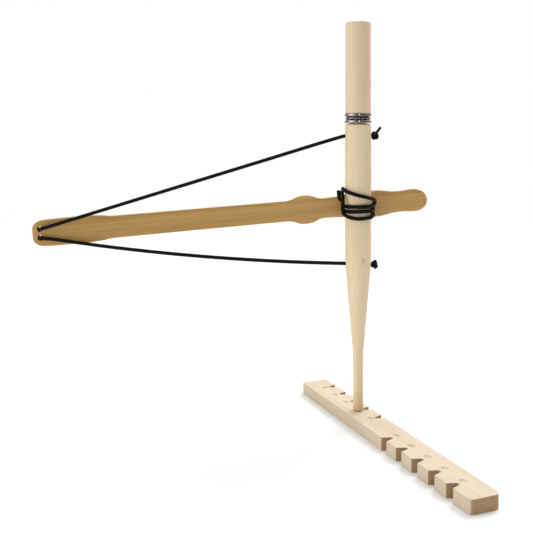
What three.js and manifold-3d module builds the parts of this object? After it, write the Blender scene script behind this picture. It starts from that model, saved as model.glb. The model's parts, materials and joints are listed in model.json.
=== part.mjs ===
// Bow drill fire set, in millimetres, +Z up.
// The origin lies on the drill's axis at the underside of the hearth board. The bow stave runs along X,
// behind the drill (+Y), and rises towards +X. The hearth board is turned about the drill's axis.
import * as THREE from "three";
import { mergeVertices } from "three/addons/utils/BufferGeometryUtils.js";
import Module from "manifold-3d";

const wasm = await Module();
wasm.setup();

// ---------------------------------------------------------------- driving dimensions
const GAP = 0.25; // clearance where one piece rests on another
const ROUND_SEGMENTS = 32; // facets of a turned piece

const BOARD = {
  length: 295.5,
  width: 28.8,
  thickness: 11.8,
  turn: THREE.MathUtils.degToRad(-68), // from +X to the board's near end
  centre: 48.8, // from the drill's socket to the board's middle
  offset: 0, // from the drill's socket to the board's centre line
  edge: 0.9, // rounding of every edge
  corner: 2, // plan radius of the far corners
  nearCorner: 4, // plan radius of the near corner on the notched edge
  wornCorner: 6, // and of the one on the plain edge
};
const NOTCH = { pitch: 24.4, perHalf: 5, mouth: 8.9, depth: 9.3, tipRadius: 1.9 };
// The near half's sockets are drilled short of their notches.
const SOCKET = { diameter: 7, depth: 1.6, nearShift: -2.5 };

const DRILL = {
  rod: 10,
  shaft: 25.6,
  taperStart: 56, // heights above the board's top
  taperEnd: 146,
  shoulder: 282,
  shoulderRound: 3,
  collar: 16.4,
  collarHeight: 0.5,
  tenon: 11.6,
  tenonIntoGrip: 27,
  crossHole: 4.2,
  upperHole: 270,
  lowerHole: 144.5,
};

const BEARING = {
  outside: 26,
  lowerBore: 12,
  upperBore: 13,
  height: 9,
  washer: 2.5,
  ball: 4.76,
  balls: 10,
  pitchRadius: 9.5,
  cageThickness: 1.4,
  cageInside: 13.4,
  cageOutside: 24.8,
};

const GRIP = { diameter: 25, length: 89.4, bore: 12.4, endRound: 1.2 };

const STAVE = {
  thickness: 7,
  tilt: Math.atan(0.0892), // the stave climbs towards its pommel
  crossing: 200.1, // height of its centre line at the drill, above the board's top
  tipEnd: -327.8, // distances along the stave from the drill
  pommelEnd: 72,
  edge: 1.1,
  cordHole: 5,
  cordHoleAt: -319.6,
  cordHoleSpread: 8.8,
};

const CORD = { diameter: 3.7, sides: 6, sag: 5 };

// ---------------------------------------------------------------- derived heights and places
const BOARD_TOP = BOARD.thickness;
const DRILL_TIP = BOARD_TOP - SOCKET.depth + GAP;
const COLLAR_TOP = BOARD_TOP + DRILL.shoulder + DRILL.collarHeight;
const BEARING_BOTTOM = COLLAR_TOP + GAP;
const BEARING_TOP = BEARING_BOTTOM + BEARING.height;
const GRIP_BOTTOM = BEARING_TOP + GAP;
const SHAFT_RADIUS = DRILL.shaft / 2;
const CORD_RADIUS = CORD.diameter / 2;
// The lashing's turns pass between the drill and the stave.
const STAVE_FRONT = SHAFT_RADIUS + CORD.diameter + 0.6;
const STAVE_BACK = STAVE_FRONT + STAVE.thickness;

// ---------------------------------------------------------------- materials
function material(colour, roughness, metalness) {
  return new THREE.MeshStandardMaterial({ color: colour, roughness, metalness });
}
const paleWood = material(0xd9c7a6, 0.62, 0);
const boardWood = material(0xeadcc4, 0.66, 0);
const bamboo = material(0xb08a52, 0.42, 0);
const cordBlack = material(0x2b2b2b, 0.85, 0);
const bearingSteel = material(0xb9bcc0, 0.22, 1);
const cageSteel = material(0xc9b98f, 0.35, 1);

// ---------------------------------------------------------------- solid helpers
function solidOf(geometry) {
  const plain = geometry.clone();
  plain.deleteAttribute("normal");
  plain.deleteAttribute("uv");
  const merged = mergeVertices(plain, 1e-4);
  return new wasm.Manifold(
    new wasm.Mesh({
      numProp: 3,
      vertProperties: merged.attributes.position.array,
      triVerts: new Uint32Array(merged.index.array),
    }),
  );
}

function geometryOf(solid) {
  const mesh = solid.getMesh();
  const geometry = new THREE.BufferGeometry();
  geometry.setAttribute("position", new THREE.BufferAttribute(mesh.vertProperties, 3));
  geometry.setIndex(new THREE.BufferAttribute(mesh.triVerts, 1));
  geometry.computeVertexNormals();
  return geometry;
}

function cut(geometry, tools) {
  return geometryOf(tools.reduce((solid, tool) => solid.subtract(solidOf(tool)), solidOf(geometry)));
}

function join(geometries) {
  return geometryOf(geometries.map(solidOf).reduce((whole, solid) => whole.add(solid)));
}

// A solid of revolution about Z. The profile holds [radius, height] pairs from low to high.
function turned(profile, segments = ROUND_SEGMENTS) {
  const points = profile.map(([radius, height]) => new THREE.Vector2(radius, height));
  return new THREE.LatheGeometry(points, segments).rotateX(Math.PI / 2);
}

function rodAlong(axis, diameter, length, segments = 16) {
  const rod = new THREE.CylinderGeometry(diameter / 2, diameter / 2, length, segments);
  if (axis === "x") rod.rotateZ(Math.PI / 2);
  if (axis === "z") rod.rotateX(Math.PI / 2);
  return rod;
}

function arcPoints(centreRadius, centreHeight, radius, fromDegrees, toDegrees, steps) {
  return Array.from({ length: steps + 1 }, (_, i) => {
    const angle = THREE.MathUtils.degToRad(fromDegrees + ((toDegrees - fromDegrees) * i) / steps);
    return [centreRadius + radius * Math.cos(angle), centreHeight + radius * Math.sin(angle)];
  });
}

function circleShape(radius, sides) {
  const corners = Array.from({ length: sides }, (_, i) => {
    const angle = (2 * Math.PI * i) / sides;
    return new THREE.Vector2(radius * Math.cos(angle), radius * Math.sin(angle));
  });
  return new THREE.Shape(corners);
}

// A round cord along a smooth path through the given places.
function cordAlong(places, steps) {
  const path = new THREE.CatmullRomCurve3(places, false, "centripetal");
  return new THREE.ExtrudeGeometry(circleShape(CORD_RADIUS, CORD.sides), {
    steps,
    extrudePath: path,
    bevelEnabled: false,
  });
}

function named(name, geometry, finish) {
  const mesh = new THREE.Mesh(geometry, finish);
  mesh.name = name;
  return mesh;
}

// ---------------------------------------------------------------- hearth board
// The board's plan lies in its own x (along) and y (across); notches open on one long edge per half.
// Side is -1 for a notch on the -y edge, where the outline runs +x, and 1 on the +y edge, where it runs -x.
function notchOutline(shape, along, edgeY, side) {
  const inward = -side;
  const travel = -side;
  const apexY = edgeY + inward * NOTCH.depth;
  const tipY = apexY - inward * NOTCH.tipRadius;
  shape.lineTo(along - (travel * NOTCH.mouth) / 2, edgeY);
  shape.lineTo(along - travel * NOTCH.tipRadius, tipY);
  shape.quadraticCurveTo(along - travel * NOTCH.tipRadius * 0.4, apexY, along, apexY);
  const tipEnd = along + travel * NOTCH.tipRadius;
  shape.quadraticCurveTo(along + travel * NOTCH.tipRadius * 0.4, apexY, tipEnd, tipY);
  shape.lineTo(along + (travel * NOTCH.mouth) / 2, edgeY);
}

function boardOutline() {
  const x0 = BOARD.centre - BOARD.length / 2;
  const x1 = BOARD.centre + BOARD.length / 2;
  const y0 = BOARD.offset - BOARD.width / 2;
  const y1 = BOARD.offset + BOARD.width / 2;
  const c = BOARD.corner;
  const near = BOARD.nearCorner;
  const worn = BOARD.wornCorner;
  const shape = new THREE.Shape();
  shape.moveTo(x0 + c, y0);
  for (let n = 1; n <= NOTCH.perHalf; n++) notchOutline(shape, BOARD.centre + n * NOTCH.pitch, y0, -1);
  shape.lineTo(x1 - near, y0);
  shape.quadraticCurveTo(x1, y0, x1, y0 + near);
  shape.lineTo(x1, y1 - worn);
  shape.quadraticCurveTo(x1, y1, x1 - worn, y1);
  for (let n = 1; n <= NOTCH.perHalf; n++) notchOutline(shape, BOARD.centre - n * NOTCH.pitch, y1, 1);
  shape.lineTo(x0 + c, y1);
  shape.quadraticCurveTo(x0, y1, x0, y1 - c);
  shape.lineTo(x0, y0 + c);
  shape.quadraticCurveTo(x0, y0, x0 + c, y0);
  return shape;
}

function socketTool(along) {
  const rim = SOCKET.diameter / 2;
  const sphere = (rim * rim + SOCKET.depth * SOCKET.depth) / (2 * SOCKET.depth);
  const tool = new THREE.SphereGeometry(sphere, 14, 12);
  return tool.rotateX(Math.PI / 2).translate(along, 0, BOARD_TOP - SOCKET.depth + sphere);
}

function hearthBoard() {
  const slab = new THREE.ExtrudeGeometry(boardOutline(), {
    depth: BOARD.thickness - 2 * BOARD.edge,
    curveSegments: 3,
    bevelThickness: BOARD.edge,
    bevelSize: BOARD.edge,
    bevelOffset: -BOARD.edge,
    bevelSegments: 1,
  }).translate(0, 0, BOARD.edge);
  const sockets = [];
  for (let n = 1; n <= NOTCH.perHalf; n++) {
    sockets.push(socketTool(BOARD.centre + n * NOTCH.pitch + SOCKET.nearShift));
    sockets.push(socketTool(BOARD.centre - n * NOTCH.pitch));
  }
  const board = named("hearth_board", cut(slab, sockets), boardWood);
  board.rotation.z = BOARD.turn;
  return board;
}

// ---------------------------------------------------------------- drill spindle
// The taper is straight, with both of its ends eased into the rod and the shaft.
function taperProfile() {
  const rodRadius = DRILL.rod / 2;
  const low = BOARD_TOP + DRILL.taperStart;
  const high = BOARD_TOP + DRILL.taperEnd;
  const ease = 12;
  const slope = (SHAFT_RADIUS - rodRadius) / (high - low);
  const lowBend = new THREE.QuadraticBezierCurve(
    new THREE.Vector2(rodRadius, low - ease),
    new THREE.Vector2(rodRadius, low),
    new THREE.Vector2(rodRadius + slope * ease, low + ease),
  );
  const highBend = new THREE.QuadraticBezierCurve(
    new THREE.Vector2(SHAFT_RADIUS - slope * ease, high - ease),
    new THREE.Vector2(SHAFT_RADIUS, high),
    new THREE.Vector2(SHAFT_RADIUS, high + ease),
  );
  return [...lowBend.getPoints(4), ...highBend.getPoints(4)].map((p) => [p.x, p.y]);
}

function drillSpindle() {
  const rodRadius = DRILL.rod / 2;
  const nose = 3.4; // radius of the rounded nose, which seats in the socket's middle
  const shoulder = BOARD_TOP + DRILL.shoulder;
  const round = DRILL.shoulderRound;
  const tenonTop = GRIP_BOTTOM + DRILL.tenonIntoGrip;
  const profile = [
    [0, DRILL_TIP],
    ...arcPoints(0, DRILL_TIP + nose, nose, -70, -48, 3),
    [rodRadius - 0.4, BOARD_TOP + 0.6],
    [rodRadius, BOARD_TOP + 1],
    ...taperProfile(),
    ...arcPoints(SHAFT_RADIUS - round, shoulder - round, round, 0, 90, 4),
    [DRILL.collar / 2, shoulder],
    [DRILL.collar / 2, COLLAR_TOP],
    [DRILL.tenon / 2, COLLAR_TOP],
    [DRILL.tenon / 2, tenonTop - 1],
    [DRILL.tenon / 2 - 1, tenonTop],
    [0, tenonTop],
  ];
  const holes = [DRILL.upperHole, DRILL.lowerHole].map((height) =>
    rodAlong("x", DRILL.crossHole, 2 * DRILL.shaft).translate(0, 0, BOARD_TOP + height),
  );
  return named("drill_spindle", cut(turned(profile), holes), paleWood);
}

// ---------------------------------------------------------------- hand grip
function handGrip() {
  const radius = GRIP.diameter / 2;
  const bore = GRIP.bore / 2;
  const top = GRIP_BOTTOM + GRIP.length;
  const boreTop = GRIP_BOTTOM + DRILL.tenonIntoGrip + 2;
  const profile = [
    [0, boreTop],
    [bore, boreTop],
    [bore, GRIP_BOTTOM],
    [radius - 0.5, GRIP_BOTTOM],
    [radius, GRIP_BOTTOM + 0.5],
    ...arcPoints(radius - GRIP.endRound, top - GRIP.endRound, GRIP.endRound, 0, 90, 3),
    [0, top],
  ];
  return named("hand_grip", turned(profile), paleWood);
}

// ---------------------------------------------------------------- thrust bearing
// A washer's profile, its ball groove towards +height when faceUp is true.
function washerGeometry(bore, faceUp) {
  const inner = bore / 2;
  const outer = BEARING.outside / 2;
  const edge = 0.35;
  const grooveRadius = BEARING.ball / 2 + 0.2;
  const middle = BEARING.height / 2;
  const halfWidth = Math.sqrt(grooveRadius ** 2 - (middle - BEARING.washer) ** 2);
  const reach = THREE.MathUtils.radToDeg(Math.asin(halfWidth / grooveRadius));
  const groove = arcPoints(BEARING.pitchRadius, middle, grooveRadius, -90 + reach, -90 - reach, 4);
  const profile = [
    [inner, edge],
    [inner + edge, 0],
    [outer - edge, 0],
    [outer, edge],
    [outer, BEARING.washer - edge],
    [outer - edge, BEARING.washer],
    ...groove,
    [inner, BEARING.washer],
    [inner, edge],
  ];
  const washer = turned(profile);
  return faceUp ? washer : washer.rotateX(Math.PI);
}

function bearingCage() {
  const half = BEARING.cageThickness / 2;
  const inner = BEARING.cageInside / 2;
  const outer = BEARING.cageOutside / 2;
  const ring = turned([
    [inner, -half],
    [outer, -half],
    [outer, half],
    [inner, half],
    [inner, -half],
  ]);
  const pockets = ballPlaces().map(({ x, y }) =>
    rodAlong("z", BEARING.ball + 0.5, 4, 14).translate(x, y, 0),
  );
  return named("bearing_cage", cut(ring, pockets), cageSteel);
}

function ballPlaces() {
  return Array.from({ length: BEARING.balls }, (_, i) => {
    const angle = (2 * Math.PI * i) / BEARING.balls;
    return new THREE.Vector3(Math.cos(angle), Math.sin(angle), 0).multiplyScalar(BEARING.pitchRadius);
  });
}

function bearingBall(place, index) {
  const ball = named(
    "bearing_ball_" + String(index + 1).padStart(2, "0"),
    new THREE.IcosahedronGeometry(BEARING.ball / 2, 1),
    bearingSteel,
  );
  ball.position.copy(place);
  return ball;
}

function thrustBearing() {
  const bearing = new THREE.Group();
  bearing.position.z = BEARING_BOTTOM;
  const lower = named("bearing_lower_washer", washerGeometry(BEARING.lowerBore, true), bearingSteel);
  const upper = named("bearing_upper_washer", washerGeometry(BEARING.upperBore, false), bearingSteel);
  upper.position.z = BEARING.height;
  const rolling = new THREE.Group();
  rolling.position.z = BEARING.height / 2;
  rolling.add(bearingCage(), ...ballPlaces().map(bearingBall));
  bearing.add(lower, upper, rolling);
  return bearing;
}

// ---------------------------------------------------------------- bow stave
// Half of the stave's outline, from its tip to its pommel: [distance along, half width].
function staveHalf() {
  const points = [];
  const add = (curve, steps) => points.push(...curve.getPoints(steps));
  const at = (x, y) => new THREE.Vector2(x, y);
  const tip = STAVE.tipEnd;
  const pommel = STAVE.pommelEnd;
  add(new THREE.CubicBezierCurve(at(tip, 4), at(tip, 9), at(tip + 4, 12.8), at(tip + 12, 13.3)), 6);
  add(new THREE.CubicBezierCurve(at(-300, 13.7), at(-280, 13.8), at(-266, 13.6), at(-257, 12.6)), 5);
  add(new THREE.CubicBezierCurve(at(-253, 12), at(-250, 11.3), at(-245, 11.1), at(-240, 11.1)), 4);
  add(new THREE.CubicBezierCurve(at(-73, 10.2), at(-69, 10.1), at(-65.5, 10.6), at(-62.5, 11.8)), 3);
  add(new THREE.CubicBezierCurve(at(-59, 13.2), at(-56, 14.5), at(-48, 14.8), at(-43.5, 13.2)), 5);
  add(new THREE.CubicBezierCurve(at(-40, 11.9), at(-37.5, 9.7), at(-32, 9.7), at(-26, 10)), 4);
  add(new THREE.CubicBezierCurve(at(-14, 10.7), at(-4, 13.1), at(10, 13.7), at(20, 13.2)), 5);
  add(new THREE.CubicBezierCurve(at(26, 12.8), at(33, 11.6), at(37, 10.4), at(43, 10.4)), 5);
  add(new THREE.CubicBezierCurve(at(50, 10.5), at(60, 12), at(pommel - 1.5, 11.5), at(pommel, 1)), 7);
  return points;
}

function bowStave() {
  const upper = staveHalf();
  const lower = upper.map((p) => new THREE.Vector2(p.x, -p.y)).reverse();
  const outline = new THREE.Shape([...lower, ...upper]);
  const blank = new THREE.ExtrudeGeometry(outline, {
    depth: STAVE.thickness - 2 * STAVE.edge,
    bevelThickness: STAVE.edge,
    bevelSize: STAVE.edge,
    bevelOffset: -STAVE.edge,
    bevelSegments: 1,
  }).translate(0, 0, STAVE.edge);
  const holes = [1, -1].map((side) =>
    rodAlong("z", STAVE.cordHole, 3 * STAVE.thickness).translate(
      STAVE.cordHoleAt,
      (side * STAVE.cordHoleSpread) / 2,
      0,
    ),
  );
  const stave = named("bow_stave", cut(blank, holes), bamboo);
  stave.rotation.x = Math.PI / 2;
  const tilted = new THREE.Group();
  tilted.position.set(0, STAVE_BACK, BOARD_TOP + STAVE.crossing);
  tilted.rotation.y = -STAVE.tilt;
  tilted.add(stave);
  return tilted;
}

// Place on the tilted stave: along it, across it (up), and in depth (+Y).
function onStave(along, across, depth) {
  return new THREE.Vector3(
    along * Math.cos(STAVE.tilt) - across * Math.sin(STAVE.tilt),
    depth,
    BOARD_TOP + STAVE.crossing + along * Math.sin(STAVE.tilt) + across * Math.cos(STAVE.tilt),
  );
}

// ---------------------------------------------------------------- bow cord
// From the drill's upper hole to the stave's tip, through both tip holes, and back to the lower hole.
function bowCord() {
  const start = new THREE.Vector3(-SHAFT_RADIUS - 3 * GAP, 0, BOARD_TOP + DRILL.upperHole);
  const end = new THREE.Vector3(-SHAFT_RADIUS - 3 * GAP, 0, BOARD_TOP + DRILL.lowerHole);
  const reach = STAVE.cordHoleSpread / 2;
  const front = STAVE_FRONT - CORD_RADIUS - 0.5;
  const behind = STAVE_BACK + CORD_RADIUS + 1.4;
  const hole = (side, depth, shift = 0) => onStave(STAVE.cordHoleAt + shift, side * reach, depth);
  const upperBend = hole(1, front - 1.2, 6).add(new THREE.Vector3(0, 0, 1.2));
  const lowerBend = hole(-1, front - 1.2, 6).add(new THREE.Vector3(0, 0, -0.2));
  const lowerMiddle = lowerBend.clone().lerp(end, 0.5);
  lowerMiddle.z -= CORD.sag;
  const places = [
    start,
    start.clone().lerp(upperBend, 0.5),
    upperBend,
    hole(1, STAVE_FRONT - 1.2, 0.4),
    hole(1, (STAVE_FRONT + STAVE_BACK) / 2),
    hole(1, STAVE_BACK + 0.8),
    onStave(STAVE.cordHoleAt, reach * 0.55, behind),
    onStave(STAVE.cordHoleAt, -reach * 0.55, behind),
    hole(-1, STAVE_BACK + 0.8),
    hole(-1, (STAVE_FRONT + STAVE_BACK) / 2),
    hole(-1, STAVE_FRONT - 1.2, 0.4),
    lowerBend,
    lowerMiddle,
    end,
  ];
  return named("bow_cord", cordAlong(places, 110), cordBlack);
}

// A stopper knot: the cord inside the cross hole, a round knot against the shaft and a cut tail.
function stopperKnot(name, height, size, tail) {
  const z = BOARD_TOP + height;
  const knotX = SHAFT_RADIUS + GAP + size.x / 2;
  const knot = new THREE.SphereGeometry(0.5, 12, 8);
  knot.rotateX(Math.PI / 2).scale(size.x, size.y, size.z).translate(knotX, 0, z + size.drop);
  const core = new THREE.Vector3(knotX, 0, z + size.drop);
  const tailEnd = core.clone().add(tail);
  const inside = [-SHAFT_RADIUS, 0, knotX].map((x) => new THREE.Vector3(x, 0, z));
  return named(
    name,
    join([cordAlong(inside, 4), knot, cordAlong([core, core.clone().lerp(tailEnd, 0.5), tailEnd], 4)]),
    cordBlack,
  );
}

// ---------------------------------------------------------------- lashing cord
// One cord. It slants down across the drill's front to the right, goes under the stave and up behind it,
// and comes over it and down the drill's left side. It then makes three turns round the drill and ends
// above the stave's top edge.
function lashingCord() {
  const radius = SHAFT_RADIUS + CORD_RADIUS + GAP;
  const place = (x, y, z) => new THREE.Vector3(x, y, BOARD_TOP + z);
  // A stop on the drill. Angles in degrees: 180 left, 270 front, 360 right, 450 back.
  const stop = (angle, z, out = 0) => ({ angle, z, out });
  // A stretch wound on the drill through its stops, with a place every 30 degrees or less.
  const wound = (stops) =>
    stops.flatMap((to, i) => {
      const from = stops[Math.max(i - 1, 0)];
      const steps = Math.max(1, Math.ceil(Math.abs(to.angle - from.angle) / 30));
      return Array.from({ length: steps }, (_, k) => {
        const mix = (key) => from[key] + ((to[key] - from[key]) * (k + 1)) / steps;
        const angle = THREE.MathUtils.degToRad(mix("angle"));
        const distance = radius + mix("out");
        return place(distance * Math.cos(angle), distance * Math.sin(angle), mix("z"));
      });
    });
  const slant = [stop(176, 218.3, 0.2), stop(192, 217.5, 0.1), stop(270, 212), stop(345, 207.8, 0.3)];
  const leftSide = [
    stop(198, 210.5, 1),
    stop(205, 206.8, 2.6),
    stop(211, 202.2, 3.95),
    stop(212, 197, 3.95),
    stop(213, 195.2, 3.8),
  ];
  const turns = [
    stop(217, 193.1, 2.5),
    stop(235, 190.7, 0.5),
    stop(265, 189.7),
    stop(300, 190.3),
    stop(330, 191.5),
    stop(355, 193),
    stop(450, 194.8),
    stop(540, 196.2),
    stop(630, 196.6),
    stop(720, 197.2),
    stop(810, 199),
    stop(900, 201.1),
    stop(1080, 201.6),
    stop(1170, 203.1),
    stop(1205, 204.2, 0.1),
  ];
  const behind = STAVE_BACK + 2.2;
  const places = [
    ...wound([...slant, stop(362, 206.6, 1.7)]),
    place(17.3, 7.6, 203.6),
    place(16.6, 9.2, 200.6),
    place(16, 10.2, 197.5),
    place(15.8, 10.4, 193),
    place(14.2, 12.4, 188.2),
    place(11.8, STAVE_FRONT + 0.4, 185.2),
    place(11.2, STAVE_BACK - 1.4, 185.2),
    place(9.6, behind - 0.1, 188),
    place(0, behind, 197.2),
    place(-11.6, behind, 207.4),
    place(-14, behind - 0.6, 211.4),
    place(-14.4, STAVE_BACK - 1.6, 213.2),
    place(-14.6, 14.8, 213.6),
    place(-14.4, 8, 214.1),
    place(-15.2, 2.5, 214.1),
    place(-15.8, -2.2, 213),
    ...wound([...leftSide, ...turns]),
    place(-15.6, 9.9, 206),
    place(-17.7, 9.4, 208.6),
    place(-18.3, 9, 212),
    place(-18.3, 9.1, 216.2),
  ];
  return named("lashing_cord", cordAlong(places, 190), cordBlack);
}

// ---------------------------------------------------------------- assembly
const bowDrill = new THREE.Group();
bowDrill.add(
  hearthBoard(),
  drillSpindle(),
  thrustBearing(),
  handGrip(),
  bowStave(),
  bowCord(),
  stopperKnot(
    "upper_stopper_knot",
    DRILL.upperHole,
    { x: 7.5, y: 8, z: 9, drop: -0.8 },
    new THREE.Vector3(5.6, -1.5, 8.2),
  ),
  stopperKnot(
    "lower_stopper_knot",
    DRILL.lowerHole,
    { x: 5.6, y: 7, z: 7.4, drop: 0 },
    new THREE.Vector3(4.2, -1, -3.4),
  ),
  lashingCord(),
);

export default bowDrill;
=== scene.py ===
"""Bow drill fire set: its looks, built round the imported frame. Lengths in the code are millimetres."""

import json
import math

import bpy
import numpy as np
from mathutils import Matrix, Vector


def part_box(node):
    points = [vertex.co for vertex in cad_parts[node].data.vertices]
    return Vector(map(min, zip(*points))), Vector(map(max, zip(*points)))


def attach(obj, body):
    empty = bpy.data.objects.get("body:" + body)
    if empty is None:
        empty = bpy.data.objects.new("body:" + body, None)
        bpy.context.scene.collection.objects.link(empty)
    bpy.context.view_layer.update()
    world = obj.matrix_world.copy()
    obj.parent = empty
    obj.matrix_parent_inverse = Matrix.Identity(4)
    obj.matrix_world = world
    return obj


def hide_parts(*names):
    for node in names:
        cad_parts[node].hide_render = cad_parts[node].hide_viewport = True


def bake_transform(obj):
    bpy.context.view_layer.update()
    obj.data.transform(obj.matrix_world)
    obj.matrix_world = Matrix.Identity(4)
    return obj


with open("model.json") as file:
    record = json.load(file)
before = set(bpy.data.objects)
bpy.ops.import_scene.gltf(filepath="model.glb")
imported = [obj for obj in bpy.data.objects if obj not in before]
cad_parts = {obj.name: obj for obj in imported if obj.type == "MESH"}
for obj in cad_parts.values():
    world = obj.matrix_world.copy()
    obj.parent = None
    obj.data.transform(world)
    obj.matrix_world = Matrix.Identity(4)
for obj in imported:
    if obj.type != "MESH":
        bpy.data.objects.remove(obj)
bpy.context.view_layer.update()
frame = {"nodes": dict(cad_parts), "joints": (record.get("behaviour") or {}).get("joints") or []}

MM = 0.001

# ------------------------------------------------------------------ places read from the frame


def box_mm(node):
    low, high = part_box(node)
    return np.array(low) / MM, np.array(high) / MM


board_low, board_high = box_mm("hearth_board")
drill_low, drill_high = box_mm("drill_spindle")
grip_low, grip_high = box_mm("hand_grip")
lower_low, lower_high = box_mm("bearing_lower_washer")
upper_low, upper_high = box_mm("bearing_upper_washer")
cage_low, cage_high = box_mm("bearing_cage")
stave_low, stave_high = box_mm("bow_stave")
ball_names = sorted(name for name in frame["nodes"] if name.startswith("bearing_ball"))
slide_axis = next(joint for joint in frame["joints"] if joint["name"] == "bow_slide")["axis"]

BOARD_TOP = board_high[2]
SHAFT_RADIUS = drill_high[0]
GRIP_RADIUS = grip_high[0]
STAVE_FRONT = stave_low[1]
STAVE_BACK = stave_high[1]
STAVE_TILT = math.atan(slide_axis[2] / slide_axis[0])

# ------------------------------------------------------------------ driving sizes
BOARD_LENGTH = 295.5
BOARD_WIDTH = 28.8
BOARD_TURN = math.radians(-68)  # from +X to the board's near end
BOARD_MIDDLE = 48.8  # from the drill's socket to the board's middle
BOARD_EDGE = 0.9  # rounding of its plain edges
BOARD_CORNERS = (4, 6, 2, 2)  # near on the notched edge, near on the plain edge, and the far ones
NOTCH_PITCH = 24.4
NOTCHES_PER_HALF = 5
NOTCH_MOUTH = 8.9
NOTCH_DEPTH = 9.3
NOTCH_TIP = 1.9
NOTCH_EDGE = 0.25  # rounding of the edges inside the notches
SOCKET_RADIUS = 3.5
SOCKET_DEPTH = 1.6
SOCKET_NEAR_SHIFT = -2.5  # of the near half's sockets, along the board from their notches
RING_WIDTH = 2.6  # of the wood's growth rings

ROD_RADIUS = 5
TAPER_START = BOARD_TOP + 56
TAPER_END = BOARD_TOP + 146
TAPER_EASE = 12
NOSE_RADIUS = 3.4
SHOULDER = BOARD_TOP + 282
SHOULDER_ROUND = 3
COLLAR_RADIUS = 8.2
COLLAR_TOP = SHOULDER + 0.5
TENON_RADIUS = 5.8
CROSS_HOLE_RADIUS = 2.1
UPPER_HOLE = BOARD_TOP + 270
LOWER_HOLE = BOARD_TOP + 144.5
GRIP_BORE = 6.2  # radius
GRIP_BORE_TOP = grip_low[2] + 29
GRIP_END_ROUND = 1.2
GRIP_MOUTH_ROUND = 0.5

BALL_RADIUS = 2.38
BALL_CIRCLE = 9.5  # radii, and of the bores too
LOWER_WASHER_BORE = 6
UPPER_WASHER_BORE = 6.5
CAGE_BORE = 6.7

STAVE_CROSSING = BOARD_TOP + 200.1  # height of the stave's centre line at the drill
STAVE_TIP = -327.8  # distances along the stave from the drill
STAVE_POMMEL = 72
STAVE_ROUND = 1.5
CORD_HOLES_AT = -319.6
CORD_HOLE_SPREAD = 8.8
CORD_HOLE_RADIUS = 2.5

CORD_RADIUS = 1.85
CORD_TAIL_RADIUS = 1.35
CORD_SAG = 5
BRAID_STRANDS = 8  # each way round
BRAID_LAY = 1.9  # length of one diamond
BRAID_RELIEF = 0.2
BRAID_AROUND = 40
BRAID_STEP = 0.38
KNOT_STEP = 0.8  # between the points of a knot that is being tightened
UPPER_KNOT = 1.35  # radii of the cord inside its knots
LOWER_KNOT = 1.3
UPPER_TAIL = 6.6  # lengths of the ends that stand out of the knots
LOWER_TAIL = 1.4


# ------------------------------------------------------------------ meshes
def unit(vector):
    return np.asarray(vector, float) / np.linalg.norm(vector)


def mesh_object(name, points, faces, material=None):
    """An object whose mesh holds the points, given in millimetres, and the faces."""
    mesh = bpy.data.meshes.new(name)
    mesh.from_pydata((np.asarray(points, float) * MM).tolist(), [], faces)
    if material:
        mesh.materials.append(material)
    made = bpy.data.objects.new(name, mesh)
    bpy.context.scene.collection.objects.link(made)
    return made


def shade(made, angle=35):
    """Smooth shading, with an edge wherever two faces meet at more than the angle."""
    made.data.shade_smooth()
    made.data.set_sharp_from_angle(angle=math.radians(angle))
    return made


def turned(name, profile, segments=128, closed=False):
    """A solid of revolution about Z. Its profile holds (radius, height) pairs, counterclockwise."""
    points, rings = [], []
    for radius, height in profile:
        if radius < 1e-6:
            rings.append([len(points)] * segments)
            points.append((0, 0, height))
            continue
        rings.append(list(range(len(points), len(points) + segments)))
        for i in range(segments):
            angle = 2 * math.pi * i / segments
            points.append((radius * math.cos(angle), radius * math.sin(angle), height))
    pairs = list(zip(rings, rings[1:]))
    if closed:
        pairs.append((rings[-1], rings[0]))
    faces = []
    for low, high in pairs:
        for i in range(segments):
            j = (i + 1) % segments
            face = list(dict.fromkeys((low[i], low[j], high[j], high[i])))
            if len(face) > 2:
                faces.append(face)
    return mesh_object(name, points, faces)


def arc(centre, radius, start, end, steps):
    """Points of a circular arc, its angles in degrees."""
    angles = [math.radians(start + (end - start) * i / steps) for i in range(steps + 1)]
    return [(centre[0] + radius * math.cos(a), centre[1] + radius * math.sin(a)) for a in angles]


def bezier(points, steps):
    """Points of a Bezier curve of any degree."""
    made = []
    for i in range(steps + 1):
        level = [np.asarray(p, float) for p in points]
        while len(level) > 1:
            level = [a + (b - a) * i / steps for a, b in zip(level, level[1:])]
        made.append(tuple(level[0]))
    return made


def cut(made, tools):
    """Takes the tools' shapes out of the object's mesh, and removes the tools."""
    for tool in tools:
        modifier = made.modifiers.new("cut", "BOOLEAN")
        modifier.operation = "DIFFERENCE"
        modifier.solver = "EXACT"
        modifier.object = tool
    bpy.context.view_layer.update()
    result = bpy.data.meshes.new_from_object(made.evaluated_get(bpy.context.evaluated_depsgraph_get()))
    made.modifiers.clear()
    made.data = result
    for tool in tools:
        bpy.data.objects.remove(tool)
    return made


def hole_tool(radius, low, high, flare=0.35):
    """A cutter for a round hole along Z whose mouths, at the low and high faces, are slightly flared."""
    beyond = 3
    profile = [
        (0, low - beyond),
        (radius + flare, low - beyond),
        (radius + flare, low),
        (radius, low + 1.6 * flare),
        (radius, high - 1.6 * flare),
        (radius + flare, high),
        (radius + flare, high + beyond),
        (0, high + beyond),
    ]
    return turned("tool", profile, 48)


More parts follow.
